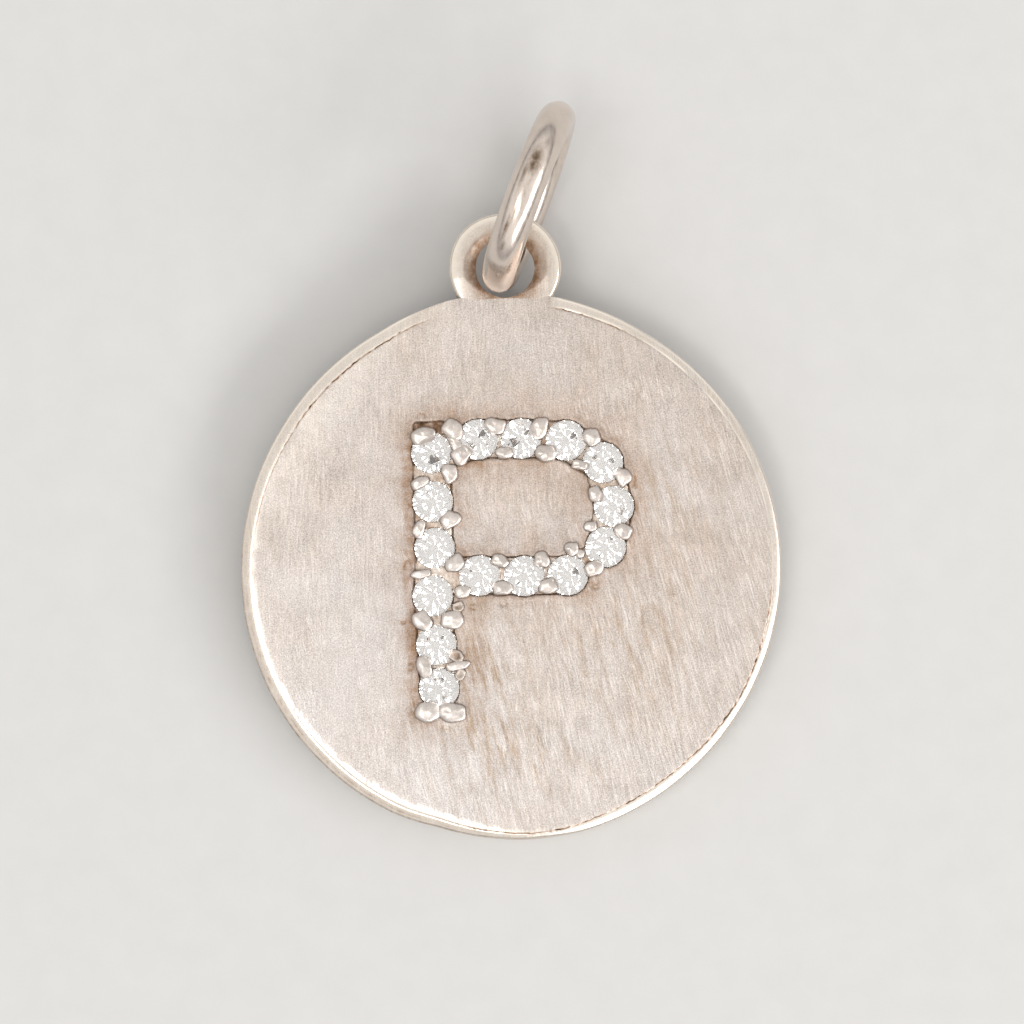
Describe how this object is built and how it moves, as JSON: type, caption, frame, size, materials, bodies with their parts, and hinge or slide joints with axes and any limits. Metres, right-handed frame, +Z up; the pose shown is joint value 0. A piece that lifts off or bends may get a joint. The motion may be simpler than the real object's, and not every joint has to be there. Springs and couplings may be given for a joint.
{
  "type": "initial pendant",
  "caption": "Round disc pendant with a block initial in bead-set round stones, a soldered eye at the top and a jump ring for a chain.",
  "frame": {"origin": "middle of the footprint, on the surface that the pendant lies on", "axes": "+Y from the disc towards the jump ring, +Z up from the surface; the disc's front faces up, leaning 3.4 degrees towards -Y"},
  "size_m": [0.016, 0.0218, 0.0059],
  "materials": {
    "satin_white_metal": "satin, finely brushed along the letter's stem, with a polished rim",
    "polished_white_metal": "polished, lightly worn",
    "clear_stone": "faceted and polished"
  },
  "bodies": {
    "root": {"pendant_disc": "satin_white_metal", "jump_ring": "polished_white_metal", "stone_01": "clear_stone", "stone_02": "clear_stone", "stone_03": "clear_stone", "stone_04": "clear_stone", "stone_05": "clear_stone", "stone_06": "clear_stone", "stone_07": "clear_stone", "stone_08": "clear_stone", "stone_09": "clear_stone", "stone_10": "clear_stone", "stone_11": "clear_stone", "stone_12": "clear_stone", "stone_13": "clear_stone", "stone_14": "clear_stone", "stone_15": "clear_stone"}
  },
  "joints": []
}
